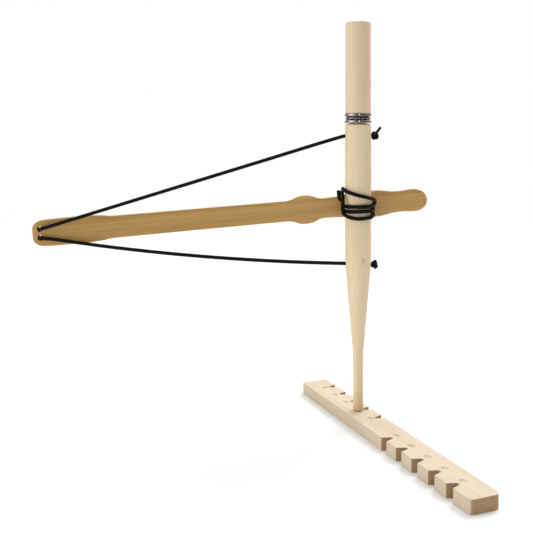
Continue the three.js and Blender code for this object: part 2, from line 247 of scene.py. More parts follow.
def edge_rings(outline, rounds, low, high, steps=4):
    """A plate's closed side: its outline, inset at both faces to round each point by its own amount."""
    outline = np.asarray(outline, float)
    rounds = np.asarray(rounds, float)
    before = outline - np.roll(outline, 1, axis=0)
    after = np.roll(outline, -1, axis=0) - outline
    before /= np.linalg.norm(before, axis=1)[:, None]
    after /= np.linalg.norm(after, axis=1)[:, None]
    inward = np.stack([-(before + after)[:, 1], (before + after)[:, 0]], axis=1)
    inward /= np.linalg.norm(inward, axis=1)[:, None]
    mitre = np.maximum(np.sum(inward * np.stack([-after[:, 1], after[:, 0]], axis=1), axis=1), 0.5)
    inward /= mitre[:, None]
    rings = []
    for face, sign in ((low, 1), (high, -1)):
        half = []
        for k in range(steps + 1):
            angle = math.pi / 2 * k / steps
            inset = rounds * (1 - math.sin(angle))
            rise = rounds * (1 - math.cos(angle))
            plan = outline + inward * inset[:, None]
            half.append(np.column_stack([plan, face + sign * rise]))
        rings += half if face == low else half[::-1]
    return rings


def joined_rings(rings):
    """Points and side faces of a stack of closed rings with the same number of points."""
    count = len(rings[0])
    points = [tuple(p) for ring in rings for p in ring]
    faces = []
    for k in range(len(rings) - 1):
        for i in range(count):
            j = (i + 1) % count
            faces.append((k * count + i, k * count + j, (k + 1) * count + j, (k + 1) * count + i))
    return points, faces


def placed(made, node, body, material):
    """Sets the finish of a piece that stands for a CAD node and rides a body."""
    made.data.materials.clear()
    made.data.materials.append(material)
    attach(made, body)
    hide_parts(node)
    return made


# ------------------------------------------------------------------ shaders
def screen(red, green, blue):
    """Linear colour from 0-255 screen values."""
    def linear(value):
        value /= 255
        return value / 12.92 if value <= 0.04045 else ((value + 0.055) / 1.055) ** 2.4
    return (linear(red), linear(green), linear(blue))


class Shader:
    """A node material with short ways to add what the materials here share."""

    def __init__(self, name):
        self.material = bpy.data.materials.new(name)
        self.material.use_nodes = True
        self.tree = self.material.node_tree
        self.surface = self.tree.nodes["Principled BSDF"]

    def put(self, socket, value):
        if isinstance(value, bpy.types.NodeSocket):
            self.tree.links.new(value, socket)
        elif socket.type == "RGBA" and len(value) == 3:
            socket.default_value = (*value, 1)
        else:
            socket.default_value = value

    def node(self, kind, inputs, **settings):
        made = self.tree.nodes.new(kind)
        for key, value in settings.items():
            setattr(made, key, value)
        for key, value in inputs.items():
            self.put(made.inputs[key], value)
        return made

    def math(self, operation, a, b=0.0, c=0.0):
        return self.node("ShaderNodeMath", {0: a, 1: b, 2: c}, operation=operation).outputs[0]

    def vector(self, operation, a, b):
        made = self.node("ShaderNodeVectorMath", {0: a, 1: b}, operation=operation)
        return made.outputs["Value" if operation == "DOT_PRODUCT" else "Vector"]

    def length(self, vector):
        return self.node("ShaderNodeVectorMath", {0: vector}, operation="LENGTH").outputs["Value"]

    def join(self, x, y, z):
        return self.node("ShaderNodeCombineXYZ", {"X": x, "Y": y, "Z": z}).outputs[0]

    def split(self, vector):
        return self.node("ShaderNodeSeparateXYZ", {0: vector}).outputs

    def noise(self, place, scale, detail=2.0, roughness=0.5):
        """Noise whose grain is 1 / scale millimetres along each axis, from 0 to 1."""
        place = self.vector("MULTIPLY", place, scale)
        inputs = {"Vector": place, "Scale": 1.0, "Detail": detail, "Roughness": roughness}
        return self.node("ShaderNodeTexNoise", inputs).outputs["Fac"]

    def ramp(self, value, stops):
        made = self.node("ShaderNodeValToRGB", {"Fac": value})
        elements = made.color_ramp.elements
        while len(elements) < len(stops):
            elements.new(0.5)
        for element, (place, level) in zip(elements, stops):
            element.position = place
            element.color = (level, level, level, 1)
        return made.outputs["Color"]

    def rescale(self, value, low, high, to_low=0.0, to_high=1.0):
        inputs = {"Value": value, "From Min": low, "From Max": high, "To Min": to_low, "To Max": to_high}
        return self.node("ShaderNodeMapRange", inputs).outputs["Result"]

    def mix(self, share, a, b, blend="MIX"):
        inputs = {0: share, 6: a, 7: b}
        return self.node("ShaderNodeMix", inputs, data_type="RGBA", blend_type=blend).outputs[2]

    def bump(self, height, distance, normal=None):
        """A bump whose height, from 0 to 1, stands for a distance in millimetres."""
        inputs = {"Height": height, "Distance": distance * MM}
        if normal is not None:
            inputs["Normal"] = normal
        return self.node("ShaderNodeBump", inputs).outputs["Normal"]

    def own_axes(self, across, depth, along):
        """Place in millimetres, and direction of the surface, both along the piece's own axes."""
        texture = self.node("ShaderNodeTexCoord", {})
        place = self.vector("SCALE", texture.outputs["Object"], (0, 0, 0))
        place.node.inputs["Scale"].default_value = 1 / MM
        made = []
        for source in (place, texture.outputs["Normal"]):
            parts = [self.vector("DOT_PRODUCT", source, axis) for axis in (across, depth, along)]
            made.append(self.join(*parts))
        return made

    def finish(self, **inputs):
        for key, value in inputs.items():
            self.put(self.surface.inputs[key.replace("_", " ")], value)
        return self.material


def wood(name, axes, pale, dark, end_tint, pith, side_shade_tint=None, darker_bands=(), pin_knots=()):
    """Sanded pale wood. The growth rings are cylinders round a pith that runs beside the piece.

    A darker band is (height where it starts, height where it is full, tint): the wood darkens by the tint
    towards the low end. A pin knot is (centre, tint).
    """
    shader = Shader(name)
    place, facing = shader.own_axes(*axes)
    sway = shader.noise(place, (0.02, 0.02, 0.0035), 1)
    wander = shader.noise(place, (0.16, 0.16, 0.012), 2)
    flat = shader.vector("ADD", shader.vector("MULTIPLY", place, (1, 1, 0)), (*pith, 0))
    distance = shader.length(flat)
    distance = shader.math("MULTIPLY_ADD", sway, 16.0, distance)
    distance = shader.math("MULTIPLY_ADD", wander, 1.6, distance)
    season = shader.math("FRACT", shader.math("DIVIDE", distance, RING_WIDTH))
    band = shader.ramp(season, [(0.0, 0.1), (0.45, 0.25), (0.8, 0.75), (0.93, 1.0), (1.0, 0.1)])
    fibre = shader.noise(place, (1.5, 1.5, 0.02), 3, 0.6)
    fleck = shader.noise(place, (2.6, 2.6, 0.13), 1)
    fleck = shader.rescale(fleck, 0.66, 0.74)
    drift = shader.noise(place, (0.07, 0.07, 0.01), 1)
    share = shader.math("MULTIPLY", band, 0.14)
    share = shader.math("MULTIPLY_ADD", fibre, 0.3, share)
    share = shader.math("MULTIPLY_ADD", drift, 0.6, share)
    share = shader.rescale(share, 0.25, 0.85)
    colour = shader.mix(share, pale, dark)
    colour = shader.mix(shader.math("MULTIPLY", fleck, 0.2), colour, dark, "MULTIPLY")
    ending = shader.math("ABSOLUTE", shader.split(facing)[2])
    ending = shader.rescale(ending, 0.55, 0.9)
    pores = shader.rescale(shader.noise(place, (3.2, 3.2, 0.4), 1), 0.45, 0.7)
    end_colour = shader.mix(1.0, colour, end_tint, "MULTIPLY")
    end_colour = shader.mix(shader.math("MULTIPLY", pores, 0.35), end_colour, dark, "MULTIPLY")
    colour = shader.mix(ending, colour, end_colour)
    # Painted shade: faces across the piece, its sides, are made darker, for the dimmer light they get from
    # the floor beside them.
    if side_shade_tint:
        side = shader.rescale(shader.math("ABSOLUTE", shader.split(facing)[0]), 0.5, 0.9)
        colour = shader.mix(side, colour, side_shade_tint, "MULTIPLY")
    height = shader.split(place)[2]
    uneven = shader.math("MULTIPLY_ADD", shader.noise(place, (0.5, 0.5, 0.05), 2), 10.0, height)
    # Bands that darken the wood from their start height down to the piece's low end.
    for start, full, tint in darker_bands:
        colour = shader.mix(shader.rescale(uneven, start, full), colour, tint, "MULTIPLY")
    for centre, tint in pin_knots:
        reach = shader.vector("MULTIPLY", shader.vector("SUBTRACT", place, centre), (1, 1, 0.4))
        colour = shader.mix(shader.rescale(shader.length(reach), 2.2, 0.4), colour, tint, "MULTIPLY")
    rough = shader.math("MULTIPLY_ADD", fibre, 0.16, 0.5)
    rough = shader.math("MULTIPLY_ADD", ending, 0.15, rough)
    normal = shader.bump(fibre, 0.03)
    normal = shader.bump(band, 0.006, normal)
    return shader.finish(Base_Color=colour, Roughness=rough, Normal=normal, Specular_IOR_Level=0.35)


def bamboo(name, axes):
    """Varnished bamboo: long straight fibre bundles, a faint node across it and a dark spot by the guard."""
    shader = Shader(name)
    place, facing = shader.own_axes(*axes)
    x, _, along = shader.split(place)
    node_at, spot_at = -139.0, (-9.0, 0.0, -45.0)
    strip = shader.noise(place, (0.22, 0.22, 0.0015), 1)
    bundle = shader.noise(place, (1.5, 1.5, 0.008), 2, 0.6)
    dash = shader.rescale(shader.noise(place, (2.2, 2.2, 0.035), 1), 0.58, 0.7)
    cloud = shader.noise(place, (0.05, 0.05, 0.012), 2)
    share = shader.math("MULTIPLY_ADD", strip, 0.45, shader.math("MULTIPLY", bundle, 0.5))
    share = shader.math("MULTIPLY_ADD", cloud, 0.35, share)
    share = shader.rescale(share, 0.34, 1.0)
    colour = shader.mix(share, screen(208, 166, 94), screen(164, 118, 48))
    colour = shader.mix(shader.math("MULTIPLY", dash, 0.3), colour, screen(120, 86, 44))
    curve = shader.math("MULTIPLY_ADD", shader.math("MULTIPLY", x, x), 0.012, along)
    node_place = shader.math("ABSOLUTE", shader.math("SUBTRACT", curve, node_at))
    node_line = shader.rescale(node_place, 2.2, 0.2)
    colour = shader.mix(shader.math("MULTIPLY", node_line, 0.35), colour, screen(128, 92, 48))
    from_spot = shader.vector("MULTIPLY", shader.vector("SUBTRACT", place, spot_at), (1, 0, 0.35))
    spot = shader.rescale(shader.length(from_spot), 2.4, 0.4)
    colour = shader.mix(shader.math("MULTIPLY", spot, 0.4), colour, screen(104, 70, 36))
    ending = shader.rescale(shader.math("ABSOLUTE", shader.split(facing)[2]), 0.5, 0.95)
    pores = shader.rescale(shader.noise(place, (2.4, 2.4, 1.0), 1), 0.4, 0.65)
    colour = shader.mix(shader.math("MULTIPLY", ending, pores), colour, screen(122, 88, 48))
    rough = shader.math("MULTIPLY_ADD", bundle, 0.18, 0.3)
    normal = shader.bump(bundle, 0.05)
    normal = shader.bump(node_line, 0.08, normal)
    varnish = {"Coat_Weight": 0.15, "Coat_Roughness": 0.3}
    return shader.finish(Base_Color=colour, Roughness=rough, Normal=normal, **varnish)


def braided_cord(name):
    """Black polyester braid: fine filaments along each strand, and smooth melted ends."""
    shader = Shader(name)
    weave = shader.node("ShaderNodeAttribute", {}, attribute_name="weave").outputs["Vector"]
    u, v, melted = shader.split(weave)
    parity = shader.math("ADD", shader.math("FLOOR", u), shader.math("FLOOR", v))
    parity = shader.math("PINGPONG", parity, 1.0)
    cross = shader.math("ADD", shader.math("MULTIPLY", parity, v),
                        shader.math("MULTIPLY", shader.math("SUBTRACT", 1.0, parity), u))
    filament = shader.math("SINE", shader.math("MULTIPLY", cross, 2 * math.pi * 7))
    filament = shader.math("MULTIPLY_ADD", filament, 0.5, 0.5)
    filament = shader.math("MULTIPLY", filament, shader.math("SUBTRACT", 1.0, melted))
    fuzz = shader.noise(shader.vector("MULTIPLY", weave, (1, 1, 0)), (3.0, 3.0, 1.0), 2)
    colour = shader.mix(shader.math("MULTIPLY", filament, fuzz), screen(9, 8, 7), screen(20, 18, 17))
    rough = shader.rescale(melted, 0.0, 1.0, 0.55, 0.3)
    normal = shader.bump(filament, 0.035)
    return shader.finish(Base_Color=colour, Roughness=rough, Normal=normal, Specular_IOR_Level=0.12)


def steel(name, tint, rough, brushed):
    """Bearing steel with a trace of oil in patches. Brushed steel has fine grinding lines round the axis."""
    shader = Shader(name)
    place, _ = shader.own_axes((1, 0, 0), (0, 1, 0), (0, 0, 1))
    height = shader.split(place)[2]
    radius = shader.length(shader.vector("MULTIPLY", place, (1, 1, 0)))
    lines = shader.noise(shader.join(radius, height, 0.0), (14.0, 14.0, 1.0), 2)
    oil = shader.noise(place, (0.25, 0.25, 0.6), 2)
    roughness = shader.math("MULTIPLY_ADD", oil, 0.06, rough)
    inputs = {"Base_Color": tint, "Metallic": 1.0, "Roughness": roughness}
    if brushed:
        inputs["Normal"] = shader.bump(lines, 0.0012)
    return shader.finish(**inputs)


# ------------------------------------------------------------------ hearth board
def board_outline():
    """The board's plan in its own axes, counterclockwise, with each point's edge rounding."""
    x0 = BOARD_MIDDLE - BOARD_LENGTH / 2
    x1 = BOARD_MIDDLE + BOARD_LENGTH / 2
    y0 = -BOARD_WIDTH / 2
    y1 = BOARD_WIDTH / 2
    near_left, near_right, far_right, far_left = BOARD_CORNERS
    outline = []

    def notches(edge, side):
        for n in range(1, NOTCHES_PER_HALF + 1):
            middle = BOARD_MIDDLE - side * n * NOTCH_PITCH
            tip = edge - side * (NOTCH_DEPTH - NOTCH_TIP)
            rounded = [(x, tip - side * y) for x, y in arc((0, 0), NOTCH_TIP, 180, 0, 12)]
            shape = [(-NOTCH_MOUTH / 2, edge), *rounded, (NOTCH_MOUTH / 2, edge)]
            for x, y in shape:
                outline.append((middle - side * x, y, NOTCH_EDGE))

    def corner(x, y, radius, start):
        for px, py in arc((x, y), radius, start, start + 90, 8):
            outline.append((px, py, BOARD_EDGE))

    notches(y0, -1)
    corner(x1 - near_left, y0 + near_left, near_left, -90)
    corner(x1 - near_right, y1 - near_right, near_right, 0)
    notches(y1, 1)
    corner(x0 + far_right, y1 - far_right, far_right, 90)
    corner(x0 + far_left, y0 + far_left, far_left, 180)
    return [p[:2] for p in outline], [p[2] for p in outline]


def eased_outline(outline, rounds, longest_plain=12, step=1.5):
    """Adds points near the ends of long straight stretches, where the edge rounding then changes."""
    points, amounts = [], []
    count = len(outline)
    for i in range(count):
        a, b = np.array(outline[i]), np.array(outline[(i + 1) % count])
        length = np.linalg.norm(b - a)
        points.append(tuple(a))
        amounts.append(rounds[i])
        if length <= longest_plain:
            continue
        for place in (step, length - step):
            points.append(tuple(a + (b - a) * place / length))
            amounts.append(BOARD_EDGE)
    return points, amounts


def hearth_board(material):
    outline, rounds = eased_outline(*board_outline())
    rings = edge_rings(outline, rounds, board_low[2], board_high[2])
    points, faces = joined_rings(rings)
    count = len(outline)
    faces.append(tuple(range(count))[::-1])
    faces.append(tuple(range(len(points) - count, len(points))))
    board = mesh_object("hearth_board_wood", points, faces)
    sphere_radius = (SOCKET_RADIUS ** 2 + SOCKET_DEPTH ** 2) / (2 * SOCKET_DEPTH)
    tools = []
    for n in range(1, NOTCHES_PER_HALF + 1):
        for along in (n * NOTCH_PITCH + SOCKET_NEAR_SHIFT, -n * NOTCH_PITCH):
            profile = arc((0, sphere_radius - SOCKET_DEPTH), sphere_radius, -90, 90, 40)
            profile[0], profile[-1] = (0, profile[0][1]), (0, profile[-1][1])
            tool = turned("tool", profile, 64)
            tool.location = Vector((BOARD_MIDDLE + along, 0, BOARD_TOP)) * MM
            tools.append(tool)
    cut(board, tools)
    board.rotation_euler = (0, 0, BOARD_TURN)
    bpy.context.view_layer.update()
    board.data.transform(board.matrix_world)
    board.rotation_euler = (0, 0, 0)
    shade(board, 25)
    return placed(board, "hearth_board", "hearth", material)


# ------------------------------------------------------------------ drill spindle and hand grip
def taper_profile():
    slope = (SHAFT_RADIUS - ROD_RADIUS) / (TAPER_END - TAPER_START)
    low = [
        (ROD_RADIUS, TAPER_START - TAPER_EASE),
        (ROD_RADIUS, TAPER_START),
        (ROD_RADIUS + slope * TAPER_EASE, TAPER_START + TAPER_EASE),
    ]
    high = [
        (SHAFT_RADIUS - slope * TAPER_EASE, TAPER_END - TAPER_EASE),
        (SHAFT_RADIUS, TAPER_END),
        (SHAFT_RADIUS, TAPER_END + TAPER_EASE),
    ]
    return bezier(low, 12) + bezier(high, 12)


def drill_spindle(material):
    tip, top = drill_low[2], drill_high[2]
    chamfer, lead = 0.2, 1
    nose = arc((0, tip + NOSE_RADIUS), NOSE_RADIUS, -90, -48, 6)
    profile = [
        (0, tip),
        *nose[1:],
        (ROD_RADIUS - 0.4, BOARD_TOP + 0.6),
        (ROD_RADIUS, BOARD_TOP + 1),
        *taper_profile(),
        *arc((SHAFT_RADIUS - SHOULDER_ROUND, SHOULDER - SHOULDER_ROUND), SHOULDER_ROUND, 0, 90, 10),
        (COLLAR_RADIUS, SHOULDER),
        (COLLAR_RADIUS, COLLAR_TOP - chamfer),
        (COLLAR_RADIUS - chamfer, COLLAR_TOP),
        (TENON_RADIUS, COLLAR_TOP),
        (TENON_RADIUS, top - lead),
        (TENON_RADIUS - lead, top),
        (0, top),
    ]
    drill = turned("drill_spindle_wood", profile)
    tools = []
    for height in (UPPER_HOLE, LOWER_HOLE):
        tool = hole_tool(CROSS_HOLE_RADIUS, -SHAFT_RADIUS - 0.05, SHAFT_RADIUS + 0.05)
        tool.rotation_euler = (0, math.pi / 2, 0)
        tool.location = (0, 0, height * MM)
        tools.append(tool)
    shade(cut(drill, tools))
    return placed(drill, "drill_spindle", "drill", material)


def hand_grip(material):
    low, high = grip_low[2], grip_high[2]
    mouth, end = GRIP_MOUTH_ROUND, GRIP_END_ROUND
    profile = [
        (0, GRIP_BORE_TOP),
        (GRIP_BORE, GRIP_BORE_TOP),
        (GRIP_BORE, low),
        *arc((GRIP_RADIUS - mouth, low + mouth), mouth, -90, 0, 4),
        *arc((GRIP_RADIUS - end, high - end), end, 0, 90, 8),
        (0, high),
    ]
    grip = shade(turned("hand_grip_wood", profile))
    return placed(grip, "hand_grip", "grip", material)


# ------------------------------------------------------------------ thrust bearing
def washer(node, body, bore, groove_up, material):
    low, high = (lower_low[2], lower_high[2]) if groove_up else (upper_low[2], upper_high[2])
    middle = (cage_low[2] + cage_high[2]) / 2
    outer = lower_high[0]
    edge = 0.4
    groove = BALL_RADIUS + 0.12
    face = high if groove_up else low
    half_width = math.sqrt(groove ** 2 - (middle - face) ** 2)
    reach = math.degrees(math.asin(half_width / groove))
    if groove_up:
        track = arc((BALL_CIRCLE, middle), groove, -90 + reach, -90 - reach, 14)
    else:
        track = arc((BALL_CIRCLE, middle), groove, 90 + reach, 90 - reach, 14)
    inner_low = [(bore + edge, low), (bore, low + edge)]
    inner_high = [(bore, high - edge), (bore + edge, high)]
    outer_low = arc((outer - edge, low + edge), edge, -90, 0, 4)
    outer_high = arc((outer - edge, high - edge), edge, 0, 90, 4)
    if groove_up:
        profile = [*outer_low, *outer_high, *track, *inner_high[::-1], *inner_low[::-1]]
    else:
        profile = [*outer_low, *outer_high, *inner_high[::-1], *inner_low[::-1], *track]
    made = shade(turned(node + "_steel", profile, 128, closed=True), 30)
    return placed(made, node, body, material)


def bearing_cage(material):
    inner, outer = CAGE_BORE, cage_high[0]
    low, high = cage_low[2], cage_high[2]
    edge = 0.25
    profile = [
        *arc((outer - edge, low + edge), edge, -90, 0, 3),
        *arc((outer - edge, high - edge), edge, 0, 90, 3),
        *arc((inner + edge, high - edge), edge, 90, 180, 3),
        *arc((inner + edge, low + edge), edge, 180, 270, 3),
    ]
    cage = turned("bearing_cage_steel", profile, 128, closed=True)
    tools = []
    for name in ball_names:
        centre = sum(box_mm(name)) / 2
        tool = hole_tool(BALL_RADIUS + 0.2, low, high, 0.1)
        tool.location = (centre[0] * MM, centre[1] * MM, 0)
        tools.append(tool)
    shade(cut(cage, tools), 30)
    return placed(cage, "bearing_cage", "cage", material)


def bearing_ball(node, material):
    centre = sum(box_mm(node)) / 2
    profile = arc((0, 0), BALL_RADIUS, -90, 90, 24)
    profile[0], profile[-1] = (0, -BALL_RADIUS), (0, BALL_RADIUS)
    ball = turned(node + "_steel", profile, 40)
    ball.location = Vector(centre) * MM
    shade(ball, 60)
    body = node.replace("bearing_ball", "ball")
    return placed(ball, node, body, material)


# ------------------------------------------------------------------ bow stave
def stave_half():
    """Half of the stave's outline, from its tip to its pommel: (distance along, half width)."""
    tip, pommel = STAVE_TIP, STAVE_POMMEL
    curves = [
        [(tip, 4), (tip, 9), (tip + 4, 12.8), (tip + 12, 13.3)],
        [(-300, 13.7), (-280, 13.8), (-266, 13.6), (-257, 12.6)],
        [(-253, 12), (-250, 11.3), (-245, 11.1), (-240, 11.1)],
        [(-73, 10.2), (-69, 10.1), (-65.5, 10.6), (-62.5, 11.8)],
        [(-59, 13.2), (-56, 14.5), (-48, 14.8), (-43.5, 13.2)],
        [(-40, 11.9), (-37.5, 9.7), (-32, 9.7), (-26, 10)],
        [(-14, 10.7), (-4, 13.1), (10, 13.7), (20, 13.2)],
        [(26, 12.8), (33, 11.6), (37, 10.4), (43, 10.4)],
        [(50, 10.5), (60, 12), (pommel - 1.5, 11.5), (pommel, 1)],
    ]
    rough = [point for curve in curves for point in bezier(curve, 12)]
    return even(smooth_through(rough, 6), 1.6)


def on_stave(along, across, depth):
    """Place on the tilted stave: along it, across it (up), and in depth (+Y)."""
    c, s = math.cos(STAVE_TILT), math.sin(STAVE_TILT)
    return np.array([along * c - across * s, depth, STAVE_CROSSING + along * s + across * c])


def bow_stave(material):
    upper = np.array(stave_half())
    outline = np.vstack([upper * (1, -1), upper[::-1]])
    rings = edge_rings(outline, [STAVE_ROUND] * len(outline), 0, STAVE_BACK - STAVE_FRONT, 5)
    points, faces = joined_rings(rings)
    half = len(upper)
    last = len(points) - 2 * half
    across = 6
    for start, flip in ((0, True), (last, False)):
        columns = [[start + i for i in range(half)]]
        low = np.array(points[start : start + half])
        high = np.array(points[start + half : start + 2 * half])[::-1]
        for k in range(1, across):
            share = k / across
            columns.append(list(range(len(points), len(points) + half)))
            points += [tuple(p) for p in low + (high - low) * share]
        columns.append([start + 2 * half - 1 - i for i in range(half)])
        for a, b in zip(columns, columns[1:]):
            for i in range(half - 1):
                face = (a[i], a[i + 1], b[i + 1], b[i])
                faces.append(face[::-1] if flip else face)
        for i, end in ((0, -1), (half - 1, 1)):
            face = [column[i] for column in columns]
            faces.append(face[::-1] if (end < 0) != flip else face)
    flat = np.array(points)
    world = np.array([on_stave(s, t, 0) for s, t, _ in flat])
    world[:, 1] = STAVE_FRONT + flat[:, 2]
    stave = mesh_object("bow_stave_bamboo", world, faces)
    tools = []
    for side in (1, -1):
        tool = hole_tool(CORD_HOLE_RADIUS, STAVE_FRONT, STAVE_BACK, 0.45)
        tool.rotation_euler = (-math.pi / 2, 0, 0)
        tool.location = Vector(on_stave(CORD_HOLES_AT, side * CORD_HOLE_SPREAD / 2, 0)) * MM
        tools.append(tool)
    shade(cut(stave, tools))
    return placed(stave, "bow_stave", "bow", material)


# ------------------------------------------------------------------ cord
def smooth_through(places, samples=16):
    """A centripetal Catmull-Rom curve through the places."""
    p = np.asarray(places, float)
    keep = [0] + [i for i in range(1, len(p)) if np.linalg.norm(p[i] - p[i - 1]) > 1e-6]
    p = p[keep]
    p = np.vstack([2 * p[0] - p[1], p, 2 * p[-1] - p[-2]])
    knots = np.concatenate([[0], np.cumsum(np.linalg.norm(np.diff(p, axis=0), axis=1) ** 0.5)])
    made = []
    for i in range(1, len(p) - 2):
        t0, t1, t2, t3 = knots[i - 1 : i + 3]
        t = np.linspace(t1, t2, samples, endpoint=False)[:, None]
        a = p[i - 1] + (p[i] - p[i - 1]) * (t - t0) / (t1 - t0)
        b = p[i] + (p[i + 1] - p[i]) * (t - t1) / (t2 - t1)
        c = p[i + 1] + (p[i + 2] - p[i + 1]) * (t - t2) / (t3 - t2)
        d = a + (b - a) * (t - t0) / (t2 - t0)
        e = b + (c - b) * (t - t1) / (t3 - t1)
        made.append(d + (e - d) * (t - t1) / (t2 - t1))
    made.append(p[-2][None, :])
    return np.vstack(made)


def even(points, step):
    """The same line with evenly spaced points."""
    points = np.asarray(points, float)
    lengths = np.concatenate([[0], np.cumsum(np.linalg.norm(np.diff(points, axis=0), axis=1))])
    places = np.linspace(0, lengths[-1], max(2, round(lengths[-1] / step) + 1))
    return np.column_stack([np.interp(places, lengths, axis) for axis in points.T])


def carried_sides(path):
    """Two directions at right angles to the path and to each other, carried along it without twisting."""
    tangents = np.gradient(path, axis=0)
    tangents /= np.linalg.norm(tangents, axis=1)[:, None]
    side = unit(np.cross(tangents[0], (0.3, 0.9, 0.1)))
    sides = []
    for tangent in tangents:
        side = unit(side - tangent * (side @ tangent))
        sides.append(side)
    sides = np.array(sides)
    return sides, np.cross(tangents, sides)


def braid(name, places, material, radius_at=None):
    """A braided cord along the places. radius_at gives its radius from places along it and its length."""
    path = even(smooth_through(places), BRAID_STEP)
    count = len(path)
    along = np.arange(count) * BRAID_STEP
    total = along[-1]
    radius = radius_at(along, total) if radius_at else np.full(count, CORD_RADIUS)
    from_end = np.minimum(along, total - along)
    melted = np.clip(1 - (from_end - 1.2) / 0.8, 0, 1)
    cap = np.clip(from_end / CORD_RADIUS, 0, 1)
    radius = radius * np.sqrt(np.maximum(1 - (1 - cap) ** 2, 0.02)) * (1 + 0.12 * melted)
    side, other = carried_sides(path)
    turn = np.arange(BRAID_AROUND + 1) / BRAID_AROUND
    u = turn[None, :] * BRAID_STRANDS + along[:, None] / BRAID_LAY
    v = turn[None, :] * BRAID_STRANDS - along[:, None] / BRAID_LAY
    over = (np.floor(u) + np.floor(v)) % 2
    wave_u = np.abs(np.sin(np.pi * u))
    wave_v = np.abs(np.sin(np.pi * v))
    crown = wave_u ** np.where(over, 0.35, 0.8) * wave_v ** np.where(over, 0.8, 0.35)
    relief = BRAID_RELIEF * (1 - melted)[:, None] * (1 - crown)
    reach = (radius[:, None] - relief)[:, :BRAID_AROUND]
    angle = 2 * np.pi * turn[:BRAID_AROUND]
    ring = side[:, None, :] * np.cos(angle)[None, :, None]
    ring = ring + other[:, None, :] * np.sin(angle)[None, :, None]
    points = (path[:, None, :] + ring * reach[:, :, None]).reshape(-1, 3)
    i, j = np.meshgrid(np.arange(count - 1), np.arange(BRAID_AROUND), indexing="ij")
    i, j = i.ravel(), j.ravel()
    k = (j + 1) % BRAID_AROUND
    corner_places = ((i, j), (i, k), (i + 1, k), (i + 1, j))
    faces = np.stack([row * BRAID_AROUND + column for row, column in corner_places], axis=1).tolist()
    faces.append(list(range(BRAID_AROUND))[::-1])
    faces.append(list(range((count - 1) * BRAID_AROUND, count * BRAID_AROUND)))
    cord = mesh_object(name, points, faces, material)
    corners = np.zeros((len(cord.data.loops), 3), np.float32)
    for n, (a, b) in enumerate(((i, j), (i, j + 1), (i + 1, j + 1), (i + 1, j))):
        corners[n : 4 * len(i) : 4] = np.column_stack([u[a, b], v[a, b], melted[a]])
    corners[4 * len(i) :, 2] = 1
    weave = cord.data.attributes.new("weave", "FLOAT_VECTOR", "CORNER")
    weave.data.foreach_set("vector", corners.ravel())
    cord.data.shade_smooth()
    return cord


def overhand_knot(radius, bulge, tail_direction):
    """Centre line of a tight overhand knot. Its standing part comes in along +X.

    It starts as an open trefoil that lies on the bulge side. Its ends are then pulled, the tail's along the
    tail direction, while the cord keeps its length and can't pass through itself.
    """
    gap = 0.3
    t = np.linspace(gap, 2 * np.pi - gap, 120)
    out = radius * (2.15 + 1.15 * np.cos(3 * t))
    loop = np.column_stack([out * np.cos(2 * t), out * np.sin(2 * t), 1.15 * radius * np.sin(3 * t)])
    reach = np.arange(9, 0, -1)[:, None]
    standing = loop[0] + reach * np.array([1, 0.15, 0.1])
    tail = loop[-1] + reach[::-1] * np.array([1, -0.15, -0.1])
    up, back = unit(bulge), np.array([-1.0, 0, 0])
    path = even(np.vstack([standing, loop, tail]) @ np.array([up, back, np.cross(up, back)]), KNOT_STEP)
    segment = np.linalg.norm(path[1] - path[0])
    index = np.arange(len(path))
    may_touch = np.abs(index[:, None] - index[None, :]) * segment > 2.5 * radius
    for _ in range(220):
        path[0] += 0.15 * back
        path[-1] += 0.15 * unit(tail_direction)
        for _ in range(16):
            apart = path[:, None, :] - path[None, :, :]
            distance = np.sqrt((apart ** 2).sum(2)) + np.eye(len(path))
            overlap = np.where(may_touch, np.maximum(2 * radius - distance, 0), 0) / distance
            path += 0.3 * np.einsum("ijk,ij->ik", apart, overlap)
            path[1:-1] += 0.06 * ((path[:-2] + path[2:]) / 2 - path[1:-1])
            for first in (0, 1):
                ahead = path[first + 1 :: 2]
                behind = path[first:-1:2][: len(ahead)]
                link = ahead - behind
                push = link * (1 - segment / np.linalg.norm(link, axis=1)[:, None]) / 2
                behind += push
                ahead -= push
    return path


def seated_knot(radius, height, bulge, tail_direction, tail_length, flatten, stretch, rise):
    """An overhand knot drawn up flat against the shaft, from inside its cross hole to the end of its tail."""
    path = overhand_knot(radius, bulge, tail_direction)
    distance = np.linalg.norm(path[:, None] - path[None], axis=2)
    index = np.arange(len(path))
    along_cord = np.abs(index[:, None] - index[None]) * KNOT_STEP
    touching = (distance < 2.3 * radius) & (along_cord > 2.6 * radius)
    core = np.where(touching.any(axis=1))[0]
    start, end = core.min(), core.max()
    body = path[start : end + 1].copy()
    middle = (body.min(0) + body.max(0)) / 2
    body = middle + (body - middle) * (flatten, 1, stretch)
    to_shaft = SHAFT_RADIUS + 0.1 + radius - body[:, 0].min()
    body += np.array([to_shaft, -middle[1], height + rise - middle[2]])
    tail = body[-1] + np.outer(np.linspace(0.25, 1, 4), unit(tail_direction) * tail_length)
    hole = [(-2, 0, height), (4, 0, height), (8, 0, height), (SHAFT_RADIUS - 1.5, 0, height)]
    return np.vstack([hole, body[1:], tail])


def cord_radius(knotted, knot_radii, tails):
    """Radius along the bow cord, which is squeezed in its knots and more so in their tails.

    Each argument has a value for either end: how far the knot reaches, the radius in it, the tail's length.
    """
    def radius_at(along, total):
        radius = np.full(len(along), float(CORD_RADIUS))
        for from_end, length, knot_radius, tail in zip((along, total - along), knotted, knot_radii, tails):
            radius -= (CORD_RADIUS - knot_radius) * np.clip((length - from_end) / 3, 0, 1)
            radius -= (knot_radius - CORD_TAIL_RADIUS) * np.clip((tail - from_end) / 2, 0, 1)
        return radius
    return radius_at


